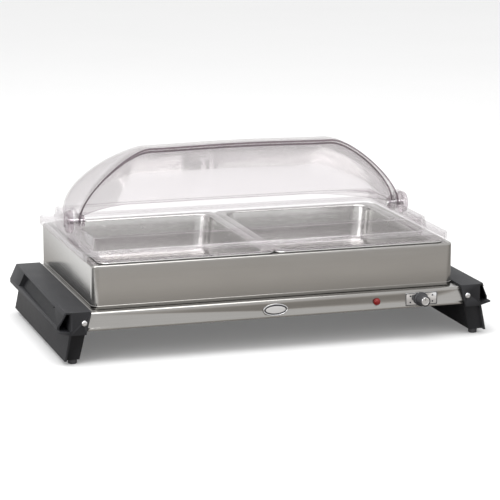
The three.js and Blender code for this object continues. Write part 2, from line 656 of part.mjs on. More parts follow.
// Joins a row of convex outlines with equal point counts into one closed solid.
function lofted(rings) {
  const count = rings[0].length;
  const last = (rings.length - 1) * count;
  const index = [];
  for (let start = 0; start < last; start += count) {
    for (let i = 0; i < count; i += 1) {
      const a = start + i;
      const b = start + (i + 1) % count;
      index.push(a, b, b + count, a, b + count, a + count);
    }
  }
  for (let i = 1; i + 1 < count; i += 1) {
    index.push(0, i + 1, i, last, last + i, last + i + 1);
  }
  const geometry = new THREE.BufferGeometry();
  geometry.setAttribute('position', new THREE.Float32BufferAttribute(rings.flat(2), 3));
  geometry.setIndex(index);
  return geometry;
}

function domeBlock(inset, frontY, lowZ) {
  const rings = [frontY, ...domeStations(inset)].map((y) => {
    const arch = bothHalves(domeArch(inset, y)).map((p) => [lid.shift + p.x, lid.axisY + y, lid.axisZ + p.y]);
    const foot = (point) => [point[0], point[1], lowZ];
    return [foot(arch[0]), ...arch, foot(arch[arch.length - 1])];
  });
  return lofted(rings);
}

function rearDome() {
  const shell = cut(domeBlock(0, dome.edgeY, lid.wallTop + GAP), domeBlock(CLEAR, dome.edgeY - 4, lid.wallTop - 9));
  const bosses = [-1, 1].map((s) => {
    const ends = [s * (dome.halfLength - CLEAR), s * dome.halfLength].sort((a, b) => a - b);
    return rod('x', dome.boss, lid.shift + ends[0], lid.shift + ends[1], lid.axisY, lid.axisZ, 20);
  });
  return cut(join(shell, ...bosses), rod('x', dome.pinHole, -far, far, lid.axisY, lid.axisZ));
}

// The cover is cut as it lies when closed, then rolled back to where it rests.
function rollCover() {
  const shell = turnedShell(cover.inset);
  const end = THREE.MathUtils.degToRad(cover.span);
  const sector = prismAlongX([
    [lid.axisY + 6, lid.wallTop + 0.6], [-far, lid.wallTop + 0.6], [-far, far], [lid.axisY, far],
    [lid.axisY - far * Math.cos(end), lid.axisZ + far * Math.sin(end)],
  ], -far, far);
  const closed = common(shell, join(sector, hubBand(dome.boss)));
  closed.translate(0, -lid.axisY, -lid.axisZ).rotateX(THREE.MathUtils.degToRad(-cover.openAngle));
  return closed.translate(0, lid.axisY, lid.axisZ);
}

function lidBase() {
  const cx = lid.shift;
  const cy = (lid.front + lid.back) / 2;
  const width = 2 * lid.halfWidth;
  const depth = lid.back - lid.front;
  const under = lid.flangeTop - CLEAR;
  const flange = slab(width, depth, lid.corner, cx, cy, lid.flangeTop - lid.lipDepth, lid.flangeTop);
  const inside = slab(width - 2 * CLEAR, depth - 2 * CLEAR, lid.corner - CLEAR, cx, cy, under - 20, under);
  const wallY = (lid.wallFront + lid.wallBack) / 2;
  const wallWidth = 2 * lid.wallHalfWidth;
  const wallDepth = lid.wallBack - lid.wallFront;
  const walls = taper(wallWidth, wallDepth, 10, lid.draft, cx, wallY, lid.wallTop, under + 0.5);
  const room = taper(wallWidth - 2 * CLEAR, wallDepth - 2 * CLEAR, 8, lid.draft, cx, wallY, lid.wallTop - CLEAR + 0.4, under - 2);
  const footprint = hubPlanCut(cx);
  const frontMouth = box(cx - lid.wallHalfWidth + CLEAR, cx + lid.wallHalfWidth - CLEAR,
    lid.wallFront + lid.ledge, dome.edgeY - 4, lid.wallTop - CLEAR - 1, lid.wallTop + 1);
  const ears = [-1, 1].map((s) => {
    const [a, b] = s > 0 ? [lid.wallHalfWidth - CLEAR, earFace] : [-earFace, CLEAR - lid.wallHalfWidth];
    return cut(rod('x', lid.earRadius, cx + a, cx + b, lid.axisY, lid.axisZ, 20), box(-far, far, -far, far, 0, lid.flangeTop + 1));
  });
  const pinHole = rod('x', dome.pinHole, -far, far, lid.axisY, lid.axisZ);
  return cut(join(cut(flange, inside), walls, ...ears), room, footprint, frontMouth, pinHole);
}

// The opening in the top of the walls follows the inside of the rear dome and clears its bosses.
function hubPlanCut(cx) {
  const inside = CLEAR + 1;
  const side = domeStations(inside).map((y) => new THREE.Vector2(domeArch(inside, y).at(-1).x, y));
  const back = bothHalves(side.reverse());
  const front = bothHalves(domeProfile(inside)).map((p) => new THREE.Vector2(p.x, -p.y)).reverse();
  const plan = extrude(new THREE.Shape([...back, ...front]), 20).translate(cx, lid.axisY, lid.wallTop - 10);
  const clearance = dome.boss + 1.5;
  const bosses = box(cx - dome.halfLength - 0.8, cx + dome.halfLength + 0.8,
    lid.axisY - clearance, lid.axisY + clearance, lid.wallTop - 12, lid.wallTop + 3);
  return join(plan, bosses);
}

function hubKnob(s) {
  const profile = [[0, 0], [16.8, 0], [17.3, 1.2], [15.8, 7], [12, 9.2], [0, 9.2]];
  const knobShape = new THREE.LatheGeometry(profile.map(([r, t]) => new THREE.Vector2(r, t)), 18);
  knobShape.rotateZ(-s * Math.PI / 2);
  const face = lid.shift + s * (earFace + GAP);
  knobShape.translate(face, lid.axisY, lid.axisZ);
  return cut(knobShape, rod('x', 4.3, face - 4, face + 4, lid.axisY, lid.axisZ));
}

function pivotPin(s) {
  const outer = earFace + 3.5;
  const inner = dome.halfLength - cover.inset - CLEAR - 6;
  const [a, b] = s > 0 ? [inner, outer] : [-outer, -inner];
  return rod('x', 4, lid.shift + a, lid.shift + b, lid.axisY, lid.axisZ);
}

function pinClip(s) {
  const outer = dome.halfLength - cover.inset - CLEAR - 1.5;
  const [a, b] = s > 0 ? [outer - 2.5, outer] : [-outer, 2.5 - outer];
  return cut(rod('x', 8.5, lid.shift + a, lid.shift + b, lid.axisY, lid.axisZ, 20),
    rod('x', 4.3, lid.shift + a - 1, lid.shift + b + 1, lid.axisY, lid.axisZ));
}

add('lid_base', lidBase(), clearPlastic);
add('rear_dome', rearDome(), clearPlastic);
add('roll_cover', rollCover(), clearPlastic);
for (const [sideName, s] of sides) {
  add(`hub_knob_${sideName}`, hubKnob(s), clearPlastic);
  add(`pivot_pin_${sideName}`, pivotPin(s), brightSteel);
  add(`pin_clip_${sideName}`, pinClip(s), clearPlastic);
}

// ---------------------------------------------------------------- place the whole unit
const frontReach = knob.face - 0.1;
const backReach = tray.back + 7;
unit.position.y = -(frontReach + backReach) / 2;

export default unit;
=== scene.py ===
"""Looks of the countertop steam table: brushed stainless deck and tray, moulded black legs,
pans, controls, and the clear roll-top lid. Metres, +Z up, front towards -Y."""
import json
import math

import bmesh
import bpy
from mathutils import Matrix, Vector


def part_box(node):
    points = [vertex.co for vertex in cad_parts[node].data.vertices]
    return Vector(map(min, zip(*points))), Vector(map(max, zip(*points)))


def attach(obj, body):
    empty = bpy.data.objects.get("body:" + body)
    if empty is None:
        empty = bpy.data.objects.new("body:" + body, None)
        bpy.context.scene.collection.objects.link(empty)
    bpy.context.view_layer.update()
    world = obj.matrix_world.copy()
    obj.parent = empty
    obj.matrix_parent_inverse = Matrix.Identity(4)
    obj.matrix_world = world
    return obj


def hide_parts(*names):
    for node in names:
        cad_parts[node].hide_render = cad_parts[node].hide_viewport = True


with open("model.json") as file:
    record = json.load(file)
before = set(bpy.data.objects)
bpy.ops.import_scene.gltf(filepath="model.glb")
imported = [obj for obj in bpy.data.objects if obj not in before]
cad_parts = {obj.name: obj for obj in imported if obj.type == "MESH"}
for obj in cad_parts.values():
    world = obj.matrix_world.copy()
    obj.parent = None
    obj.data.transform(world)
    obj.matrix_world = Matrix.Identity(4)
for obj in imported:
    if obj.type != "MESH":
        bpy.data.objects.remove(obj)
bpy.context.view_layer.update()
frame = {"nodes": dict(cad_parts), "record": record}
nodes = frame["nodes"]

MM = 0.001
SIDES = (("left", -1), ("right", 1))
ENDS = (("front", -1), ("back", 1))


# ------------------------------------------------------------------ camera
CAMERA_TARGET = Vector((0.0124, 0.0212, 0.109))
CAMERA_AZIMUTH = math.radians(17.37)
CAMERA_ELEVATION = math.radians(12.0)
CAMERA_DISTANCE = 3.496
CAMERA_LENS = 164.6


def make_camera():
    level = CAMERA_DISTANCE * math.cos(CAMERA_ELEVATION)
    offset = Vector((
        -level * math.sin(CAMERA_AZIMUTH),
        -level * math.cos(CAMERA_AZIMUTH),
        CAMERA_DISTANCE * math.sin(CAMERA_ELEVATION),
    ))
    data = bpy.data.cameras.new("studio_camera")
    data.lens = CAMERA_LENS
    data.sensor_width = 36
    camera = bpy.data.objects.new("studio_camera", data)
    camera.location = CAMERA_TARGET + offset
    camera.rotation_euler = (-offset).to_track_quat("-Z", "Y").to_euler()
    bpy.context.scene.collection.objects.link(camera)
    bpy.context.scene.camera = camera


make_camera()


# ------------------------------------------------------------------ shader maths
class Number:
    """A number that changes over a surface. Sums and products of it add Math nodes."""

    def __init__(self, finish, socket):
        self.finish = finish
        self.socket = socket

    def _with(self, operation, first, second):
        made = self.finish.node("ShaderNodeMath", {"operation": operation}, {0: first, 1: second})
        return Number(self.finish, made.outputs["Value"])

    def __add__(self, other):
        return self._with("ADD", self, other)

    def __radd__(self, other):
        return self._with("ADD", other, self)

    def __sub__(self, other):
        return self._with("SUBTRACT", self, other)

    def __rsub__(self, other):
        return self._with("SUBTRACT", other, self)

    def __mul__(self, other):
        return self._with("MULTIPLY", self, other)

    def __rmul__(self, other):
        return self._with("MULTIPLY", other, self)

    def __pow__(self, other):
        return self._with("POWER", self, other)

    def clamped(self, low, high):
        settings = {"clamp_type": "MINMAX"}
        made = self.finish.node("ShaderNodeClamp", settings, {"Value": self, "Min": low, "Max": high})
        return Number(self.finish, made.outputs["Result"])


EDGE_WEAR_GAIN = 12.0


class Finish:
    """A material under construction. Every node in it comes from node()."""

    def __init__(self, name):
        self.material = bpy.data.materials.new(name)
        self.material.use_nodes = True
        self.tree = self.material.node_tree
        self.tree.nodes.clear()
        self.place = self.node("ShaderNodeTexCoord").outputs["Object"]
        self.output = self.node("ShaderNodeOutputMaterial")

    def node(self, kind, settings=None, inputs=None, stops=None):
        made = self.tree.nodes.new(kind)
        for key, value in (settings or {}).items():
            setattr(made, key, value)
        if stops:
            self._set_stops(made.color_ramp, stops)
        for key, value in (inputs or {}).items():
            if isinstance(value, Number):
                value = value.socket
            if isinstance(value, bpy.types.NodeSocket):
                self.tree.links.new(value, made.inputs[key])
            else:
                made.inputs[key].default_value = value
        return made

    @staticmethod
    def _set_stops(ramp, stops):
        while len(ramp.elements) < len(stops):
            ramp.elements.new(0.5)
        for element, (position, color) in zip(ramp.elements, stops):
            element.position = position
            element.color = (*color, 1.0)

    def noise(self, scale, stretch=(1.0, 1.0, 1.0), detail=3.0, roughness=0.55):
        """Noise on the piece's own coordinates, finer along the axes with a larger stretch."""
        mapped = self.node("ShaderNodeMapping", None, {"Vector": self.place, "Scale": stretch})
        made = self.node("ShaderNodeTexNoise", None, {
            "Vector": mapped.outputs["Vector"], "Scale": scale, "Detail": detail, "Roughness": roughness})
        return Number(self, made.outputs["Fac"])

    def cells(self, scale):
        made = self.node("ShaderNodeTexVoronoi", {"feature": "F1"}, {
            "Vector": self.place, "Scale": scale})
        return Number(self, made.outputs["Distance"])

    def colors(self, factor, stops):
        return self.node("ShaderNodeValToRGB", None, {"Fac": factor}, stops).outputs["Color"]

    def mixed(self, factor, first, second):
        made = self.node("ShaderNodeMix", {"data_type": "RGBA"}, {"Factor": factor})
        for socket, value in ((made.inputs[6], first), (made.inputs[7], second)):
            if isinstance(value, bpy.types.NodeSocket):
                self.tree.links.new(value, socket)
            else:
                socket.default_value = (*value, 1.0)
        return made.outputs[2]

    def edge_wear(self):
        """About 1 on worn convex edges and 0 elsewhere."""
        made = self.node("ShaderNodeNewGeometry")
        pointed = Number(self, made.outputs["Pointiness"])
        return ((pointed - 0.5) * EDGE_WEAR_GAIN).clamped(0.0, 1.0)

    def bump(self, height, distance, strength=1.0):
        made = self.node("ShaderNodeBump", None, {
            "Height": height, "Distance": distance, "Strength": strength})
        return made.outputs["Normal"]

    def surface(self, **inputs):
        """Ends the material with one Principled shader."""
        named = {key.replace("_", " "): value for key, value in inputs.items()}
        shader = self.node("ShaderNodeBsdfPrincipled", None, named)
        self.tree.links.new(shader.outputs["BSDF"], self.output.inputs["Surface"])
        return self.material


# ------------------------------------------------------------------ finishes
def brushed_metal(name, tones, grain=(6.0, 6.0, 900.0), rough=0.27, depth=0.00002):
    """Stainless sheet, brushed along the axes with the small grain values."""
    finish = Finish(name)
    streaks = finish.noise(1.0, grain, 4.0, 0.7)
    broad = finish.noise(5.0, (1.0, 1.0, 2.2), 3.0)
    smudges = finish.noise(17.0, (1.0, 1.0, 1.0), 4.0, 0.6)
    shade = streaks * 0.6 + broad * 0.4
    color = finish.colors(shade, [(0.3, tones[0]), (0.7, tones[1])])
    roughness = (streaks * 0.16 + smudges * 0.1 + (rough - 0.13)).clamped(0.08, 0.9)
    return finish.surface(
        Base_Color=color, Metallic=1.0, Roughness=roughness, Anisotropic=0.35,
        Normal=finish.bump(streaks, depth, 0.5))


def polished_metal(name, tone, rough=0.12):
    finish = Finish(name)
    swirl = finish.noise(60.0, (1.0, 1.0, 1.0), 5.0, 0.65)
    fine = finish.noise(700.0, (1.0, 1.0, 6.0), 2.0)
    dull = tuple(channel * 0.86 for channel in tone)
    color = finish.colors(swirl, [(0.35, dull), (0.65, tone)])
    roughness = (swirl * 0.1 + fine * 0.05 + (rough - 0.07)).clamped(0.03, 0.8)
    return finish.surface(Base_Color=color, Metallic=1.0, Roughness=roughness)


def grained_plastic(name, dark, light, rough=0.5, grain=1500.0, depth=0.00009):
    """Moulded plastic with a fine leather-like grain, paler where edges are rubbed."""
    finish = Finish(name)
    pebbles = finish.cells(grain)
    drift = finish.noise(30.0, (1.0, 1.0, 1.0), 4.0, 0.6)
    fine = finish.noise(2600.0, (1.0, 1.0, 1.0), 2.0)
    base = finish.colors(drift, [(0.35, dark), (0.7, light)])
    rubbed = tuple(min(1.0, channel * 2.4 + 0.03) for channel in light)
    color = finish.mixed(finish.edge_wear() * 0.6, base, rubbed)
    roughness = (drift * 0.16 + fine * 0.08 + (rough - 0.12)).clamped(0.1, 1.0)
    height = pebbles * 0.8 + fine * 0.2
    return finish.surface(
        Base_Color=color, Roughness=roughness, Specular_IOR_Level=0.28,
        Normal=finish.bump(height, depth, 0.8))


def smooth_plastic(name, tone, rough=0.3, spread=0.12):
    finish = Finish(name)
    drift = finish.noise(45.0, (1.0, 1.0, 1.0), 3.0)
    fine = finish.noise(900.0, (1.0, 1.0, 1.0), 2.0)
    dark = tuple(channel * (1.0 - spread) for channel in tone)
    light = tuple(min(1.0, channel * (1.0 + spread)) for channel in tone)
    color = finish.colors(drift, [(0.35, dark), (0.65, light)])
    roughness = (drift * 0.08 + fine * 0.06 + (rough - 0.07)).clamped(0.05, 1.0)
    return finish.surface(
        Base_Color=color, Roughness=roughness, Normal=finish.bump(fine, 0.00001, 0.4))


CLEAR_IOR = 1.58
CLEAR_EDGE_BLEND = 0.32
CLEAR_GLOSS = 0.3
CLEAR_GLOSS_LIMIT = 0.4
CLEAR_GLOSS_ROUGHNESS = 0.06


def clear_plastic(name, tint, film, facing_film, haze):
    """A clear wall: nearly all see-through head on, denser where it is seen edge on.

    film is how much of a haze-coloured veil lies on it head on, facing_film how much more at the edge.
    """
    finish = Finish(name)
    facing = finish.node("ShaderNodeLayerWeight", None, {"Blend": CLEAR_EDGE_BLEND})
    slope = Number(finish, facing.outputs["Facing"])
    wipes = finish.noise(9.0, (1.0, 1.0, 3.0), 4.0, 0.6)
    cover = (slope ** 3.0) * facing_film + wipes * (film * 0.5) + film * 0.75
    mirror = Number(finish, facing.outputs["Fresnel"])
    body = finish.node("ShaderNodeBsdfPrincipled", None, {
        "Base Color": (*haze, 1.0), "Roughness": (wipes * 0.08 + 0.1), "IOR": CLEAR_IOR})
    glass = finish.node("ShaderNodeBsdfTransparent", None, {"Color": (*tint, 1.0)})
    gloss = finish.node("ShaderNodeBsdfGlossy", None, {
        "Color": (1.0, 1.0, 1.0, 1.0), "Roughness": CLEAR_GLOSS_ROUGHNESS})
    veiled = finish.node("ShaderNodeMixShader", None, {
        0: cover.clamped(0.0, 0.9), 1: glass.outputs["BSDF"], 2: body.outputs["BSDF"]})
    shiny = finish.node("ShaderNodeMixShader", None, {
        0: (mirror * CLEAR_GLOSS).clamped(0.0, CLEAR_GLOSS_LIMIT),
        1: veiled.outputs["Shader"], 2: gloss.outputs["BSDF"]})
    finish.tree.links.new(shiny.outputs["Shader"], finish.output.inputs["Surface"])
    return finish.material


def fibre_blanket(name, tone):
    finish = Finish(name)
    tufts = finish.noise(160.0, (1.0, 1.0, 2.0), 6.0, 0.7)
    dark = tuple(channel * 0.7 for channel in tone)
    return finish.surface(
        Base_Color=finish.colors(tufts, [(0.3, dark), (0.7, tone)]), Roughness=0.95,
        Normal=finish.bump(tufts, 0.0008, 0.8))


def braided_sleeve(name, tone):
    finish = Finish(name)
    braid = finish.node("ShaderNodeTexWave", {"wave_type": "BANDS", "bands_direction": "DIAGONAL"}, {
        "Vector": finish.place, "Scale": 260.0, "Distortion": 1.5})
    weave = Number(finish, braid.outputs["Fac"])
    dark = tuple(channel * 0.45 for channel in tone)
    return finish.surface(
        Base_Color=finish.colors(weave, [(0.2, dark), (0.8, tone)]), Roughness=0.8,
        Normal=finish.bump(weave, 0.0003, 0.7))


finishes = {
    "brushed_stainless": brushed_metal(
        "brushed_stainless", ((0.34, 0.33, 0.315), (0.41, 0.4, 0.385)), (8.0, 8.0, 2600.0), 0.21,
        0.000004),
    "pan_stainless": brushed_metal(
        "satin_pan_stainless", ((0.52, 0.515, 0.505), (0.66, 0.655, 0.645)), (80.0, 80.0, 260.0), 0.24),
    "bright_steel": polished_metal("bright_steel", (0.82, 0.82, 0.83)),
    "foot_rubber": grained_plastic(
        "foot_rubber", (0.012, 0.012, 0.013), (0.03, 0.03, 0.032), 0.85, 900.0, 0.00004),
    "textured_black_plastic": grained_plastic(
        "textured_black_plastic", (0.0065, 0.0067, 0.008), (0.0105, 0.0108, 0.013), 0.56),
    "dark_plastic": grained_plastic(
        "dark_plastic", (0.03, 0.03, 0.033), (0.055, 0.055, 0.06), 0.42, 2400.0, 0.00002),
    "clear_polycarbonate": clear_plastic(
        "clear_polycarbonate", (0.952, 0.943, 0.947), 0.02, 0.26, (0.44, 0.41, 0.43)),
    "red_lens": smooth_plastic("red_lens", (0.24, 0.004, 0.003), 0.07),
    "element_steel": brushed_metal(
        "element_steel", ((0.16, 0.15, 0.14), (0.3, 0.28, 0.26)), (60.0, 60.0, 60.0), 0.5),
    "aluminium_plate": brushed_metal(
        "mill_aluminium", ((0.62, 0.63, 0.64), (0.75, 0.76, 0.77)), (6.0, 500.0, 6.0), 0.38),
    "blanket_fibre": fibre_blanket("blanket_fibre", (0.8, 0.77, 0.68)),
    "white_enamel": smooth_plastic("white_enamel", (0.62, 0.615, 0.61), 0.22, 0.04),
    "ceramic": smooth_plastic("steatite_ceramic", (0.76, 0.73, 0.68), 0.6, 0.08),
    "brass": polished_metal("satin_brass", (0.66, 0.48, 0.22), 0.28),
    "wire_sleeve": braided_sleeve("braided_sleeve", (0.42, 0.16, 0.1)),
}
# A darker, denser copy of the clear plastic for the shells' cut edges and the frame's bevels: painted
# shade for the dark look of light piped along a cut edge.
edge_painted_shade = clear_plastic(
    "clear_polycarbonate_edge_painted_shade", (0.5, 0.44, 0.47), 0.36, 0.3, (0.13, 0.10, 0.12))
# A denser copy of the clear plastic, darker where seen edge on, for the hub knobs: painted shade for the
# dark refraction lines in a solid clear knob.
clear_knob_painted_shade = clear_plastic(
    "clear_polycarbonate_knob", (0.86, 0.83, 0.845), 0.06, 0.5, (0.36, 0.33, 0.35))
clear_and_edge_painted_shade = [finishes["clear_polycarbonate"], edge_painted_shade]
printed_mark = smooth_plastic("printed_mark", (0.03, 0.03, 0.035), 0.45)


# ------------------------------------------------------------------ mesh helpers
SMOOTH_BELOW = math.radians(35)


def finished_piece(name, bm, slot, body, replaced=(), materials=None):
    """Makes the bmesh an object in place, riding on its body and standing for its CAD nodes."""
    mesh = bpy.data.meshes.new(name)
    bm.to_mesh(mesh)
    bm.free()
    for material in materials or [finishes[slot]]:
        mesh.materials.append(material)
    mesh.polygons.foreach_set("use_smooth", [True] * len(mesh.polygons))
    mesh.set_sharp_from_angle(angle=SMOOTH_BELOW)
    return place_piece(name, mesh, body, replaced)


def place_piece(name, mesh, body, replaced=()):
    made = bpy.data.objects.new(name, mesh)
    bpy.context.scene.collection.objects.link(made)
    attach(made, body)
    if replaced:
        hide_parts(*replaced)
    return made


def rounded_ring(cx, cy, half_x, half_y, radius, z, steps=8):
    """Points round a rectangle with rounded corners, anticlockwise seen from above."""
    points = []
    for sx, sy, start in ((1, -1, -90), (1, 1, 0), (-1, 1, 90), (-1, -1, 180)):
        for step in range(steps + 1):
            turn = math.radians(start + 90 * step / steps)
            x = cx + sx * (half_x - radius) + radius * math.cos(turn)
            y = cy + sy * (half_y - radius) + radius * math.sin(turn)
            points.append(Vector((x, y, z)))
    return points


def loft(bm, rings, closed=True, cap_last=False, material=0):
    """Skins a row of rings with the same number of points. closed joins the last ring to the first."""
    rows = [[bm.verts.new(point) for point in ring] for ring in rings]
    count = len(rows[0])
    pairs = list(zip(rows, rows[1:]))
    if closed:
        pairs.append((rows[-1], rows[0]))
    for lower, upper in pairs:
        for i in range(count):
            j = (i + 1) % count
            face = bm.faces.new((lower[i], lower[j], upper[j], upper[i]))
            face.material_index = material
    if cap_last:
        bm.faces.new(rows[-1])
    return rows


def outward(bm):
    bmesh.ops.recalc_face_normals(bm, faces=bm.faces)
    return bm


def turned(bm, profile, centre, axis, steps=48, material=0):
    """Turns (radius, distance) points about an axis through centre. Points on the axis close it."""
    axis = Vector(axis).normalized()
    side = axis.orthogonal().normalized()
    other = axis.cross(side)
    centre = Vector(centre)
    rows = []
    for radius, distance in profile:
        middle = centre + axis * distance
        if radius < 1e-7:
            rows.append([bm.verts.new(middle)])
            continue
        turns = (2 * math.pi * step / steps for step in range(steps))
        rows.append([
            bm.verts.new(middle + (side * math.cos(t) + other * math.sin(t)) * radius) for t in turns])
    for low, high in zip(rows, rows[1:]):
        for i in range(steps):
            j = (i + 1) % steps
            corners = [low[i % len(low)], low[j % len(low)], high[j % len(high)], high[i % len(high)]]
            unique = list(dict.fromkeys(corners))
            if len(unique) > 2:
                bm.faces.new(unique).material_index = material
    return bm


def filleted(points, radius, steps=4):
    """A profile with each inner corner rounded, by quadratic curves that start radius away."""
    rounded = [points[0]]
    for before, here, after in zip(points, points[1:], points[2:]):
        before, here, after = (Vector((*p, 0)) for p in (before, here, after))
        reach_in = min(radius, (before - here).length * 0.45)
        reach_out = min(radius, (after - here).length * 0.45)
        start = here + (before - here).normalized() * reach_in
        end = here + (after - here).normalized() * reach_out
        for step in range(steps + 1):
            t = step / steps
            point = start * (1 - t) ** 2 + here * 2 * t * (1 - t) + end * t ** 2
            rounded.append((point.x, point.y))
    rounded.append(points[-1])
    return rounded


def merged_copy(node, flat_angle=1.0):
    """The CAD node's own shape, with its doubles merged and its flat faces made whole."""
    bm = bmesh.new()
    bm.from_mesh(nodes[node].data)
    bmesh.ops.remove_doubles(bm, verts=bm.verts, dist=2e-5)
    bmesh.ops.dissolve_limit(
        bm, angle_limit=math.radians(flat_angle), verts=bm.verts, edges=bm.edges)
    return bm


def soften_edges(bm, width, segments=2, sharper_than=30.0, material=-1):
    limit = math.radians(sharper_than)
    sharp = [e for e in bm.edges if len(e.link_faces) == 2 and e.calc_face_angle() > limit]
    bmesh.ops.bevel(
        bm, geom=sharp, offset=width, segments=segments, profile=0.5, affect="EDGES",
        clamp_overlap=True, material=material)
    return bm


def softened(node, name, body, slot, width, segments=2, materials=None):
    bm = soften_edges(merged_copy(node), width, segments)
    return finished_piece(name, bm, slot, body, [node], materials)


# ------------------------------------------------------------------ repeated small pieces
def scatter_tree():
    """Copies a small piece to every point, along the point's own direction, with a random spin."""
    tree = bpy.data.node_groups.new("place_copies", "GeometryNodeTree")
    face = tree.interface
    face.new_socket("Geometry", in_out="INPUT", socket_type="NodeSocketGeometry")
    face.new_socket("Original", in_out="INPUT", socket_type="NodeSocketObject")
    face.new_socket("Size", in_out="INPUT", socket_type="NodeSocketFloat")
    face.new_socket("Most Spin", in_out="INPUT", socket_type="NodeSocketFloat")
    face.new_socket("Spin Seed", in_out="INPUT", socket_type="NodeSocketInt")
    face.new_socket("Finish", in_out="INPUT", socket_type="NodeSocketMaterial")
    face.new_socket("Geometry", in_out="OUTPUT", socket_type="NodeSocketGeometry")

    def add(kind, settings=None, inputs=None):
        made = tree.nodes.new(kind)
        for key, value in (settings or {}).items():
            setattr(made, key, value)
        for key, value in (inputs or {}).items():
            if isinstance(value, bpy.types.NodeSocket):
                tree.links.new(value, made.inputs[key])
            else:
                made.inputs[key].default_value = value
        return made

    given = add("NodeGroupInput").outputs
    piece = add("GeometryNodeObjectInfo", None, {"Object": given["Original"]})
    facing = add("GeometryNodeInputNamedAttribute", {"data_type": "FLOAT_VECTOR"}, {"Name": "facing"})
    aimed = add("FunctionNodeAlignRotationToVector", {"axis": "Z"}, {
        "Vector": facing.outputs["Attribute"]})
    spin = add("FunctionNodeRandomValue", {"data_type": "FLOAT"}, {"Seed": given["Spin Seed"]})
    tree.links.new(given["Most Spin"], spin.inputs[3])
    angle = add("FunctionNodeAxisAngleToRotation", None, {
        "Axis": (0.0, 0.0, 1.0), "Angle": spin.outputs[1]})
    rotated = add("FunctionNodeRotateRotation", {"rotation_space": "LOCAL"}, {
        "Rotation": aimed.outputs["Rotation"], "Rotate By": angle.outputs["Rotation"]})
    copies = add("GeometryNodeInstanceOnPoints", None, {
        "Points": given["Geometry"], "Instance": piece.outputs["Geometry"],
        "Rotation": rotated.outputs["Rotation"], "Scale": given["Size"]})
    real = add("GeometryNodeRealizeInstances", None, {"Geometry": copies.outputs["Instances"]})
    painted = add("GeometryNodeSetMaterial", None, {
        "Geometry": real.outputs["Geometry"], "Material": given["Finish"]})
    add("NodeGroupOutput", None, {"Geometry": painted.outputs["Geometry"]})
    return tree


place_copies = scatter_tree()


def repeated_piece(name, original, places, slot, body, replaced, most_spin=0.0, seed=7):
    """One mesh of copies of original (a bmesh built about the origin, along +Z) at each place."""
    source_mesh = bpy.data.meshes.new(name + "_original")
    original.to_mesh(source_mesh)
    original.free()
    source_mesh.polygons.foreach_set("use_smooth", [True] * len(source_mesh.polygons))
    source_mesh.set_sharp_from_angle(angle=SMOOTH_BELOW)
    source = bpy.data.objects.new(name + "_original", source_mesh)
    points = bpy.data.meshes.new(name + "_points")
    points.from_pydata([point for point, _ in places], [], [])
    facing = points.attributes.new("facing", "FLOAT_VECTOR", "POINT")
    for item, (_, direction) in zip(facing.data, places):
        item.vector = direction
    host = bpy.data.objects.new(name + "_points", points)
    for made in (source, host):
        bpy.context.scene.collection.objects.link(made)
    modifier = host.modifiers.new("copies", "NODES")
    modifier.node_group = place_copies
    values = {
        "Original": source, "Size": 1.0, "Most Spin": most_spin, "Spin Seed": seed,
        "Finish": finishes[slot]}
    for item in place_copies.interface.items_tree:
        if item.in_out == "INPUT" and item.name in values:
            modifier[item.identifier] = values[item.name]
    depsgraph = bpy.context.evaluated_depsgraph_get()
    mesh = bpy.data.meshes.new_from_object(host.evaluated_get(depsgraph), depsgraph=depsgraph)
    host.modifiers.remove(modifier)
    for spare in (host, source):
        bpy.data.objects.remove(spare)
    return place_piece(name, mesh, body, replaced)


def middle_of(node):
    low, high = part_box(node)
    return (low + high) / 2


# ------------------------------------------------------------------ deck and pans
SHEET = 1.2 * MM
deck_low, deck_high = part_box("deck_shell")
deck_mid = (deck_low + deck_high) / 2
WELL_HALF_X = 253 * MM
WELL_HALF_Y = 151.5 * MM
WELL_CORNER = 20 * MM


def deck_rings():
    """The deck's section, ring by ring: bottom return, hem, wall, rolled top edge, top plate, well."""
    half_x = (deck_high.x - deck_low.x) / 2
    half_y = (deck_high.y - deck_low.y) / 2
    corner = 13 * MM
    bottom, top = deck_low.z, deck_high.z
    outer = [
        (8 * MM, bottom), (1.2 * MM, bottom), (0.3 * MM, bottom + 0.3 * MM), (0, bottom + 1.1 * MM),
        (0, bottom + 4.6 * MM), (0.35 * MM, bottom + 5.0 * MM), (0.35 * MM, top - 3.2 * MM),
        (0.6 * MM, top - 1.8 * MM), (1.4 * MM, top - 0.7 * MM), (2.8 * MM, top - 0.1 * MM),
        (4.2 * MM, top),
    ]
    inner = [
        (4.2 * MM, top - SHEET), (0.35 * MM + SHEET, top - 3.4 * MM), (0.35 * MM + SHEET, bottom + SHEET),
        (8 * MM, bottom + SHEET),
    ]

    def ring(inset, z):
        return rounded_ring(
            deck_mid.x, deck_mid.y, half_x - inset, half_y - inset, max(corner - inset, 5 * MM), z, 10)

    def well(grow, z):
        return rounded_ring(
            deck_mid.x, deck_mid.y, WELL_HALF_X + grow, WELL_HALF_Y + grow, WELL_CORNER, z, 10)

    rings = [ring(inset, z) for inset, z in outer]
    rings += [well(0.8 * MM, top), well(0, top - 0.5 * MM), well(0, top - SHEET)]
    return rings + [ring(inset, z) for inset, z in inner]


def make_deck():
    bm = bmesh.new()
    loft(bm, deck_rings())
    finished_piece("deck_skin", outward(bm), "brushed_stainless", "deck", ["deck_shell"])
    softened("deck_divider", "pan_divider_bar", "deck", "brushed_stainless", 0.4 * MM)


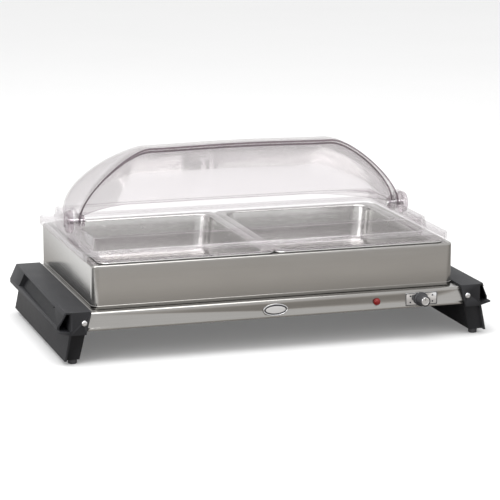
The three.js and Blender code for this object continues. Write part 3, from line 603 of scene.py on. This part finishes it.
def pan_rings(side):
    """A half-size pan: rolled rim edge, rim, tapered tub with a rounded foot, and its underside."""
    low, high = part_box(f"{side}_pan")
    mid = (low + high) / 2
    half_x = (high.x - low.x) / 2
    half_y = (high.y - low.y) / 2
    top = high.z
    floor = low.z
    rim = 12 * MM
    draft = 8 * MM
    wall = 1 * MM
    fillet = 9 * MM

    def ring(inset, corner, z):
        return rounded_ring(mid.x, mid.y, half_x - inset, half_y - inset, corner, z, 9)

    def tub(z, thick):
        """Inset of the tub's wall at a height, with its rounded foot."""
        height = (z - floor) / (top - floor)
        inset = rim + draft * (1 - height) + thick
        over_floor = max(0.0, 1 - (z - floor - thick) / fillet)
        return inset + fillet * (1 - math.sqrt(max(0.0, 1 - over_floor ** 2)))

    heights = [top - 3 * MM, top - 12 * MM, floor + 26 * MM]
    heights += [floor + wall + fillet * (1 - math.sin(math.radians(a))) for a in (0, 18, 36, 54, 72, 90)]
    rings = [
        ring(1.0 * MM, 13 * MM, top - 2.2 * MM), ring(0.2 * MM, 14 * MM, top - 2.0 * MM),
        ring(0.1 * MM, 14 * MM, top - 1.2 * MM), ring(0.6 * MM, 14 * MM, top - 0.4 * MM),
        ring(1.8 * MM, 14 * MM, top), ring(rim - 1.6 * MM, 20 * MM, top),
        ring(rim - 0.2 * MM, 21 * MM, top - 0.5 * MM), ring(rim + wall, 21 * MM, top - 1.8 * MM),
    ]
    rings += [ring(tub(z, wall), 21 * MM, z) for z in heights]
    under = [z - wall * 0.9 for z in reversed(heights)]
    rings_below = [ring(tub(max(z, floor), 0.0), 22 * MM, max(z, floor)) for z in under]
    rings_below += [
        ring(rim - 0.2 * MM, 21 * MM, top - 2.4 * MM), ring(1.4 * MM, 13 * MM, top - 1.3 * MM)]
    return rings, rings_below


def make_pans():
    """Each pan is skinned from its rim down the inside, and back up the underside to the rim."""
    for side, _ in SIDES:
        inside, below = pan_rings(side)
        bm = bmesh.new()
        upper = loft(bm, inside, closed=False, cap_last=True)
        lower = [[bm.verts.new(point) for point in ring] for ring in below]
        bm.faces.new(lower[0])
        rows = lower + [upper[0]]
        for first, second in zip(rows, rows[1:]):
            for i in range(len(first)):
                j = (i + 1) % len(first)
                bm.faces.new((first[i], first[j], second[j], second[i]))
        finished_piece(f"{side}_steam_pan", outward(bm), "pan_stainless", f"pan_{side}", [f"{side}_pan"])


# ------------------------------------------------------------------ heated tray and legs
HEM_HEIGHT = 4.6 * MM
HEM_STAND = 0.55 * MM


def make_tray():
    """The tray skin from its CAD shape, with a folded hem along its lower front and back edges."""
    bm = merged_copy("tray_shell")
    low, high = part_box("tray_shell")
    for z in (low.z + HEM_HEIGHT, low.z + HEM_HEIGHT + 0.4 * MM):
        geometry = bm.verts[:] + bm.edges[:] + bm.faces[:]
        bmesh.ops.bisect_plane(bm, geom=geometry, plane_co=(0, 0, z), plane_no=(0, 0, 1))
    for vert in bm.verts:
        if vert.co.z > low.z + HEM_HEIGHT + 0.1 * MM:
            continue
        if vert.co.y < low.y + 0.05 * MM:
            vert.co.y -= HEM_STAND
        if vert.co.y > high.y - 0.05 * MM:
            vert.co.y += HEM_STAND
    soften_edges(bm, 0.35 * MM, 2, 40.0)
    finished_piece("tray_skin", bm, "brushed_stainless", "base", ["tray_shell"])


def make_legs():
    for side, _ in SIDES:
        softened(f"{side}_leg", f"{side}_leg_moulding", "base", "textured_black_plastic", 0.9 * MM, 3)


def button_screw():
    """A button-head screw with a hexagon socket, along +Z from the face it sits on."""
    bm = bmesh.new()
    dome = [(4.4 * MM, 0)]
    dome += [(4.4 * MM * math.cos(math.radians(a)), 2.5 * MM * math.sin(math.radians(a)))
             for a in (8, 20, 34, 48, 60)]
    turned(bm, [(0, 0)] + dome, (0, 0, 0), (0, 0, 1), 36)
    lip = max(vert.co.z for vert in bm.verts)
    rim = sorted((v for v in bm.verts if v.co.z > lip - 1e-6), key=lambda v: math.atan2(v.co.y, v.co.x))
    count = len(rim)
    socket = []
    for i in range(count):
        turn = math.atan2(rim[i].co.y, rim[i].co.x)
        within = (turn % math.radians(60)) - math.radians(30)
        reach = 1.45 * MM / math.cos(within)
        socket.append((reach * math.cos(turn), reach * math.sin(turn)))
    ledge = [bm.verts.new((x, y, lip)) for x, y in socket]
    floor = [bm.verts.new((x, y, lip - 1.4 * MM)) for x, y in socket]
    for first, second in ((rim, ledge), (ledge, floor)):
        for i in range(count):
            j = (i + 1) % count
            bm.faces.new((first[i], first[j], second[j], second[i]))
    bm.faces.new(floor)
    return outward(bm)


def slotted_screw():
    bm = bmesh.new()
    head = [(0, 0), (4, 0), (4, 0.9), (3.4, 1.5), (2.2, 1.6), (0, 1.6)]
    turned(bm, [(r * MM, d * MM) for r, d in head], (0, 0, 0), (0, 0, 1), 32)
    return outward(bm)


def rubber_foot(height):
    bm = bmesh.new()
    wall = [(5.2 * MM, 0), (5.9 * MM, 0.3 * MM), (6.6 * MM, 1.2 * MM), (6.6 * MM, height)]
    turned(bm, [(0, 0.5 * MM), (3.6 * MM, 0.5 * MM), (4.2 * MM, 0)] + wall + [(0, height)],
           (0, 0, 0), (0, 0, 1), 40)
    return outward(bm)


def make_fasteners():
    leg_screws = [f"leg_screw_{end}_{side}" for end, _ in ENDS for side, _ in SIDES]
    places = []
    for end, way in ENDS:
        for side, _ in SIDES:
            centre = middle_of(f"leg_screw_{end}_{side}")
            leg_low, leg_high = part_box(f"{side}_leg")
            face = leg_low.y if way < 0 else leg_high.y
            places.append((Vector((centre.x, face + way * 0.2 * MM, centre.z)), (0, way, 0)))
    repeated_piece(
        "leg_button_screws", button_screw(), places, "bright_steel", "base", leg_screws, math.tau)
    cover_screws = [f"cover_screw_{end}_{side}" for end, _ in ENDS for side, _ in SIDES]
    places = []
    for name in cover_screws:
        low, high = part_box(name)
        centre = (low + high) / 2
        places.append((Vector((centre.x, centre.y, low.z + 1.6 * MM)), (0, 0, -1)))
    repeated_piece(
        "bottom_cover_screws", slotted_screw(), places, "bright_steel", "base", cover_screws, math.tau)
    feet = [f"foot_{end}_{side}" for end, _ in ENDS for side, _ in SIDES]
    low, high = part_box(feet[0])
    places = [
        (Vector((middle_of(name).x, middle_of(name).y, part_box(name)[0].z)), (0, 0, 1)) for name in feet]
    repeated_piece("rubber_feet", rubber_foot(high.z - low.z), places, "foot_rubber", "base", feet)


# ------------------------------------------------------------------ controls
TO_FRONT = (0, -1, 0)
MARK_X = 17.5 * MM
MARK_Z = 4.6 * MM
OUTLINE_CORNER = 1.5 * MM
FLUTES = 18
FLUTE_DEPTH = 0.012
POINTER_RISE = 3.3 * MM


def oval_ring(centre, half_x, half_z, y, steps=72):
    return [
        Vector((centre.x + half_x * math.cos(math.tau * i / steps), y,
                centre.z + half_z * math.sin(math.tau * i / steps))) for i in range(steps)]


def make_badge():
    """A blank oval badge: a rounded bright ring, a dark recess and a plain white field."""
    low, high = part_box("badge_ring")
    centre = (low + high) / 2
    half_x = (high.x - low.x) / 2
    half_z = (high.z - low.z) / 2
    bm = bmesh.new()
    section = [(0, 0.3), (0, 1.0), (0.35, 1.65), (0.95, 1.95), (1.55, 1.7), (1.95, 1.1), (1.95, 0.3)]
    front = low.y + 1.9 * MM
    loft(bm, [oval_ring(centre, half_x - i * MM, half_z - i * MM, front - d * MM) for i, d in section])
    finished_piece("badge_bezel", outward(bm), "bright_steel", "base", ["badge_ring"])
    for node, name, slot, inset in (
            ("badge_inlay", "badge_recess", "dark_plastic", 2.0),
            ("badge_face", "badge_field", "white_enamel", 3.9)):
        low_face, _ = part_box(node)
        bm = bmesh.new()
        edge = [(inset, 0.6), (inset, 0.1), (inset + 0.3, -0.05), (inset + 1.2, -0.12)]
        rings = [
            oval_ring(centre, half_x - i * MM, half_z - i * MM, low_face.y + d * MM) for i, d in edge]
        rows = loft(bm, rings, closed=False, cap_last=True)
        bm.faces.new(rows[0])
        finished_piece(name, outward(bm), slot, "base", [node])


def make_lamp():
    low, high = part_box("pilot_lamp_lens")
    centre = (low + high) / 2
    bm = bmesh.new()
    profile = [(0, 0), (5.2, 0), (5.2, 0.7), (4.9, 1.1), (4.5, 1.15), (4.35, 2.2), (3.9, 3.2), (3.0, 4.0),
               (1.7, 4.5), (0, 4.65)]
    turned(bm, [(r * MM, d * MM) for r, d in profile], (centre.x, high.y, centre.z), TO_FRONT, 48)
    finished_piece("pilot_lamp_dome", outward(bm), "red_lens", "base", ["pilot_lamp_lens"])


def make_control_plate():
    """The plate, with a thin dark outline and a plain mark near each corner."""
    softened("control_plate", "control_plate_face", "base", "bright_steel", 0.25 * MM)
    low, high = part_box("control_plate")
    centre = (low + high) / 2
    half_x = (high.x - low.x) / 2
    half_z = (high.z - low.z) / 2
    bm = bmesh.new()
    for sx in (-1, 1):
        for sz in (-1, 1):
            place = Vector((centre.x + sx * MARK_X, low.y, centre.z + sz * MARK_Z))
            disc = [(0, 0), (1.3 * MM, 0), (1.25 * MM, 0.06 * MM), (0, 0.06 * MM)]
            turned(bm, disc, place, TO_FRONT, 20)
    frame_rings = []
    for inset, lift in ((0.3, -0.02), (0.3, 0.06), (1.4, 0.06), (1.4, -0.02)):
        flat = rounded_ring(0, 0, half_x - inset * MM, half_z - inset * MM, OUTLINE_CORNER, 0)
        frame_rings.append([Vector((centre.x + p.x, low.y - lift * MM, centre.z + p.y)) for p in flat])
    loft(bm, frame_rings)
    finished_piece("control_plate_marks", outward(bm), "dark_plastic", "base", materials=[printed_mark])


def make_knob():
    """A skirted, fluted knob with a bright cap, both turned about the shaft, and a pointer line."""
    low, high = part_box("control_knob")
    centre = (low + high) / 2
    back = high.y
    bm = bmesh.new()
    outer = filleted([
        (9.4, 0), (10.6, 0), (10.6, 2.7), (8.8, 3.7), (7.9, 18.3), (7.0, 18.7), (6.7, 18.7), (6.7, 17.3),
        (0, 17.3)], 0.5, 3)
    turned(bm, [(0, 0)] + outer, (0, 0, 0), (0, 0, 1), 72)
    for vert in bm.verts:
        reach = math.hypot(vert.co.x, vert.co.y)
        if 4.5 < vert.co.z < 17.5 and reach > 7:
            flute = math.cos(FLUTES * math.atan2(vert.co.y, vert.co.x))
            scale = 1 + FLUTE_DEPTH * flute
            vert.co.x *= scale
            vert.co.y *= scale
    turn = Matrix.Translation((centre.x, back, centre.z)) @ Matrix.Rotation(math.radians(90), 4, "X")
    bm.transform(turn @ Matrix.Scale(MM, 4))
    finished_piece("knob_grip", outward(bm), "dark_plastic", "knob", ["control_knob"])
    low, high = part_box("knob_cap")
    centre = (low + high) / 2
    bm = bmesh.new()
    profile = [(0, 0), (6.2, 0), (6.2, 0.9), (5.9, 1.2), (4.6, 1.3), (4.5, 1.2), (0, 1.15)]
    turned(bm, [(r * MM, d * MM) for r, d in profile], (centre.x, high.y, centre.z), TO_FRONT, 64)
    finished_piece("knob_bright_cap", outward(bm), "bright_steel", "knob", ["knob_cap"])
    bm = bmesh.new()
    face = low.y - 0.05 * MM
    bmesh.ops.create_cube(bm, size=1.0, matrix=Matrix.Translation(
        (centre.x, face, centre.z + POINTER_RISE)) @ Matrix.Diagonal((0.7 * MM, 0.12 * MM, 4.2 * MM, 1)))
    soften_edges(bm, 0.03 * MM, 1)
    finished_piece("knob_pointer_line", bm, "dark_plastic", "knob", materials=[printed_mark])


def make_gland():
    low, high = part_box("cord_gland")
    centre = (low + high) / 2
    tray_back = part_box("tray_shell")[1].y
    bm = bmesh.new()
    outer = filleted([
        (7.9, -9), (7.9, 0.3), (11, 0.3), (11, 4), (7.4, 4.4), (7, 7), (3.7, 7), (3.7, -9), (7.9, -9)],
        0.6, 3)
    turned(bm, [(r * MM, d * MM) for r, d in outer], (centre.x, tray_back, centre.z), (0, 1, 0), 48)
    bmesh.ops.remove_doubles(bm, verts=bm.verts, dist=1e-6)
    finished_piece("cord_inlet_gland", outward(bm), "dark_plastic", "base", ["cord_gland"])


# ------------------------------------------------------------------ clear roll-top lid
# The cover is a shell turned about the hub axis. The rear dome is a row of arches: as slim as the
# cover's section at the hubs, and full from FILL_TO back, where it sinks and rounds its corners.
WALL = 3 * MM
DOME_RADIUS = 109 * MM
DOME_HALF = 253.6 * MM
CROWN_HALF = 143 * MM
CROWN_RISE = 2 * MM
SHOULDER_PULL = 33 * MM
END_PULL = 38 * MM
PIN_HOLE = 4.3 * MM
COVER_INSET = 4.5 * MM
EDGE_PLANE = 16 * MM
REAR_DEPTH = 128 * MM
REAR_CORNER = 65 * MM
FULL_HALF = 258 * MM
FULL_SHOULDER_PULL = 36 * MM
FULL_END_PULL = 64 * MM
FILL_FROM = 18 * MM
FILL_TO = 62 * MM
FOOT_DROP = 0.7 * MM
COVER_FROM = math.radians(1.0)
COVER_TO = math.radians(96.2)
COVER_STEPS = 56
FLAT_STEPS = 14
SHOULDER_STEPS = 30
REAR_STEPS = 44
BOSS_RADIUS = 12 * MM
WELD = 1e-6
lid_mid = (middle_of("pivot_pin_left") + middle_of("pivot_pin_right")) / 2


def dome_profile(inset, half=DOME_HALF, shoulder_pull=SHOULDER_PULL, end_pull=END_PULL):
    """Half profile of a shell about the hub axis, as (distance along the axis, radius)."""
    top = DOME_RADIUS - inset - CROWN_RISE
    reach = half - inset
    points = []
    for step in range(FLAT_STEPS):
        t = step / FLAT_STEPS
        points.append((CROWN_HALF * t, top + CROWN_RISE * (1 - t * t) ** 2))
    handles = ((CROWN_HALF, top), (CROWN_HALF + shoulder_pull, top), (reach, end_pull), (reach, PIN_HOLE))
    for step in range(SHOULDER_STEPS + 1):
        t = step / SHOULDER_STEPS
        weights = ((1 - t) ** 3, 3 * t * (1 - t) ** 2, 3 * t * t * (1 - t), t ** 3)
        points.append(tuple(sum(w * h[axis] for w, h in zip(weights, handles)) for axis in (0, 1)))
    return points


def both_halves(half):
    return [(-x, r) for x, r in reversed(half[1:])] + half


def cover_grid(bm, inset):
    """Vertices over the roll cover: one row per station on the profile, from its foot to its edge."""
    rows = []
    for x, radius in both_halves(dome_profile(inset)):
        row = []
        for step in range(COVER_STEPS + 1):
            turn = COVER_FROM + (COVER_TO - COVER_FROM) * step / COVER_STEPS
            row.append(bm.verts.new((
                lid_mid.x + x, lid_mid.y + radius * math.cos(turn), lid_mid.z + radius * math.sin(turn))))
        rows.append(row)
    return rows


def rear_arch(inset, y):
    """The rear dome's section at a distance behind the hub axis, as (sideways, height) points."""
    depth = REAR_DEPTH - inset
    rise = math.sqrt(max(0.0, 1 - (max(y, 0.0) / depth) ** 2))
    t = min(1.0, max(0.0, (y - FILL_FROM) / (FILL_TO - FILL_FROM)))
    fill = t * t * (3 - 2 * t)
    corner = REAR_CORNER - inset
    into_corner = max(0.0, y - (depth - corner))
    widest = FULL_HALF - inset
    plan = (widest - corner + math.sqrt(max(0.0, corner ** 2 - into_corner ** 2))) / widest
    slim = dome_profile(inset)
    full = dome_profile(inset, FULL_HALF, FULL_SHOULDER_PULL, FULL_END_PULL)
    arch = [((a[0] + (b[0] - a[0]) * fill) * plan, (a[1] + (b[1] - a[1]) * fill) * rise)
            for a, b in zip(slim, full)]
    return arch + [(arch[-1][0], -FOOT_DROP)]


def rear_grid(bm, inset):
    """Vertices over the rear dome: one row per station, each from the front edge to the back foot."""
    depth = REAR_DEPTH - inset
    stations = [-EDGE_PLANE, -EDGE_PLANE * 0.5]
    stations += [depth * math.sin(math.pi / 2 * step / REAR_STEPS) for step in range(REAR_STEPS + 1)]
    arches = [both_halves(rear_arch(inset, y)) for y in stations]
    return [
        [bm.verts.new((lid_mid.x + arch[i][0], lid_mid.y + y, lid_mid.z + arch[i][1]))
         for y, arch in zip(stations, arches)]
        for i in range(len(arches[0]))]


def add_bosses(bm, half):
    """Joins a thickened ring round each pin hole, half of the shell's length from the middle."""
    section = [
        (PIN_HOLE, -WALL), (BOSS_RADIUS, -WALL), (BOSS_RADIUS, -0.2 * MM),
        (BOSS_RADIUS - 0.6 * MM, 0.3 * MM), (PIN_HOLE, 0.3 * MM), (PIN_HOLE, -WALL)]
    for s in (-1, 1):
        ring = bmesh.new()
        turned(ring, section, (lid_mid.x + s * half, lid_mid.y, lid_mid.z), (s, 0, 0), 40)
        bmesh.ops.remove_doubles(ring, verts=ring.verts, dist=WELD)
        outward(ring)
        spare = bpy.data.meshes.new("boss")
        ring.to_mesh(spare)
        ring.free()
        bm.from_mesh(spare)
        bpy.data.meshes.remove(spare)


def clear_shell(name, grid, inset, half, body, node):
    """A clear shell one wall thick, its cut edges in the darker edge material as painted shade, with its
    bosses.
    """
    bm = bmesh.new()
    outer, inner = grid(bm, inset), grid(bm, inset + WALL)

    def skin(rows):
        for first, second in zip(rows, rows[1:]):
            for i in range(len(first) - 1):
                bm.faces.new((first[i], first[i + 1], second[i + 1], second[i]))

    def edge(first, second):
        for i in range(len(first) - 1):
            bm.faces.new((first[i], first[i + 1], second[i + 1], second[i])).material_index = 1

    skin(outer)
    skin(inner)
    edge([row[0] for row in outer], [row[0] for row in inner])
    edge([row[-1] for row in outer], [row[-1] for row in inner])
    edge(outer[0], inner[0])
    edge(outer[-1], inner[-1])
    outward(bm)
    add_bosses(bm, half)
    finished_piece(name, bm, "clear_polycarbonate", body, [node], clear_and_edge_painted_shade)


def make_lid():
    clear_shell("rear_dome_shell", rear_grid, 0.0, DOME_HALF, "lid", "rear_dome")
    clear_shell(
        "roll_cover_shell", cover_grid, COVER_INSET, DOME_HALF - COVER_INSET, "cover", "roll_cover")
    # The frame's bevels take the darker edge material: painted shade lines along its edges.
    bm = soften_edges(merged_copy("lid_base", 2.0), 1.1 * MM, 2, 40.0, material=1)
    finished_piece("lid_base_frame", bm, "clear_polycarbonate", "lid", ["lid_base"], clear_and_edge_painted_shade)


def clear_ring(name, profile, face, axis, steps, node):
    """A ring of clear plastic turned about the hub axis from (radius, distance) points in mm."""
    bm = bmesh.new()
    centre = (face, lid_mid.y, lid_mid.z)
    turned(bm, [(r * MM, d * MM) for r, d in profile], centre, axis, steps)
    bmesh.ops.remove_doubles(bm, verts=bm.verts, dist=WELD)
    finished_piece(name, outward(bm), "clear_polycarbonate", "lid", [node], [clear_knob_painted_shade])


def make_hubs():
    """At each end of the hub axis a round knob, a clip inside it and the bright pin through both."""
    knob_profile = [
        (4.3, 0), (16.4, 0), (17.0, 0.5), (17.3, 1.3), (16.9, 2.8), (15.9, 6.8), (15.0, 8.2),
        (13.4, 9.0), (11.0, 9.2), (10.0, 9.0), (9.3, 8.0), (7.2, 7.4), (4.3, 7.3), (4.3, 0)]
    clip_profile = [
        (4.3, 0.0), (8.1, 0.0), (8.5, 0.4), (8.5, 2.1), (8.1, 2.5), (4.3, 2.5), (4.3, 0.0)]
    for side, s in SIDES:
        low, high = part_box(f"hub_knob_{side}")
        face = high.x if s < 0 else low.x
        clear_ring(f"{side}_hub_button", knob_profile, face, (s, 0, 0), 56, f"hub_knob_{side}")
        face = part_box(f"pin_clip_{side}")[0].x
        clear_ring(f"{side}_pin_retainer", clip_profile, face, (1, 0, 0), 40, f"pin_clip_{side}")
        low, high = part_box(f"pivot_pin_{side}")
        length = high.x - low.x
        bm = bmesh.new()
        chamfer = 0.6 * MM
        radius = 4 * MM
        profile = [(0, 0), (radius - chamfer, 0), (radius, chamfer), (radius, length - chamfer),
                   (radius - chamfer, length), (0, length)]
        turned(bm, profile, (low.x, lid_mid.y, lid_mid.z), (1, 0, 0), 40)
        finished_piece(f"{side}_pivot_pin", outward(bm), "bright_steel", "lid", [f"pivot_pin_{side}"])


# ------------------------------------------------------------------ the rest of the CAD nodes
def finish_cad_nodes():
    """Gives every CAD node that still shows the finish of its slot."""
    for row in frame["record"]["subparts"]:
        shown = nodes[row["node"]]
        shown.data.materials.clear()
        shown.data.materials.append(finishes[row["material_slot"]])


# ------------------------------------------------------------------ studio
LIT_POINT = Vector((0, 0, 0.1))
FLOOR_HALF = 6.0
FLOOR_Z = -0.3 * MM
FLOOR_GLOW = 0.14


def add_area_light(name, place, width, height, power):
    data = bpy.data.lights.new(name, "AREA")
    data.shape = "RECTANGLE"
    data.size = width
    data.size_y = height
    data.energy = power
    light = bpy.data.objects.new(name, data)
    light.location = place
    light.rotation_euler = (LIT_POINT - Vector(place)).to_track_quat("-Z", "Y").to_euler()
    bpy.context.scene.collection.objects.link(light)


def floor_material():
    """Near white to look at. What the metal mirrors is a painted reflection: greyer, with dark and bright
    bands at the left.
    """
    finish = Finish("pale_floor")
    drift = finish.noise(2.0)
    pale = finish.colors(drift, [(0.3, (0.69, 0.69, 0.69)), (0.7, (0.7, 0.7, 0.7))])
    seen_directly = finish.node("ShaderNodeLightPath").outputs["Is Camera Ray"]
    # Painted reflection: the colours below are seen only in reflections. They are darker near the unit
    # and lighter further out front, with bright and dark bands at the left.
    spread = finish.node("ShaderNodeSeparateXYZ", None, {0: finish.place})
    to_left = ((Number(finish, spread.outputs["X"]) + 0.34) * -5.0).clamped(0.0, 1.0)
    along = Number(finish, spread.outputs["Y"]) * 0.5 + 0.5
    grey = finish.colors(along, [(0.1, (0.5, 0.48, 0.455)), (0.29, (0.27, 0.257, 0.242))])
    dim = (0.39, 0.372, 0.35)
    bright = (0.95, 0.96, 0.97)
    dark = (0.02, 0.02, 0.02)
    bands = finish.colors(along, [
        (0.19, dim), (0.23, bright), (0.29, bright), (0.33, dark), (0.55, dark), (0.61, bright)])
    painted_reflection = finish.mixed(to_left, grey, bands)
    return finish.surface(
        Base_Color=finish.mixed(Number(finish, seen_directly), painted_reflection, pale), Roughness=0.9,
        Emission_Color=(1.0, 1.0, 1.0, 1.0),
        Emission_Strength=Number(finish, seen_directly) * FLOOR_GLOW)


def make_floor():
    bm = bmesh.new()
    ends = ((-FLOOR_HALF, -FLOOR_HALF), (FLOOR_HALF, -FLOOR_HALF),
            (FLOOR_HALF, FLOOR_HALF), (-FLOOR_HALF, FLOOR_HALF))
    bm.faces.new([bm.verts.new((x, y, FLOOR_Z)) for x, y in ends])
    mesh = bpy.data.meshes.new("studio_floor")
    bm.to_mesh(mesh)
    bm.free()
    mesh.materials.append(floor_material())
    floor = bpy.data.objects.new("studio_floor", mesh)
    bpy.context.scene.collection.objects.link(floor)


def make_studio():
    make_floor()
    world = bpy.data.worlds.new("studio_world")
    world.use_nodes = True
    background = world.node_tree.nodes["Background"]
    background.inputs["Color"].default_value = (1.0, 1.0, 1.0, 1.0)
    background.inputs["Strength"].default_value = 1.0
    bpy.context.scene.world = world
    bpy.context.scene.view_settings.view_transform = "Standard"
    add_area_light("overhead_softbox", (-0.3, -0.2, 2.4), 2.6, 2.0, 52)
    add_area_light("left_softbox", (-2.4, -1.2, 1.3), 1.4, 1.6, 16)


make_deck()
make_pans()
make_tray()
make_legs()
make_fasteners()
make_badge()
make_lamp()
make_control_plate()
make_knob()
make_gland()
make_lid()
make_hubs()
finish_cad_nodes()
make_studio()
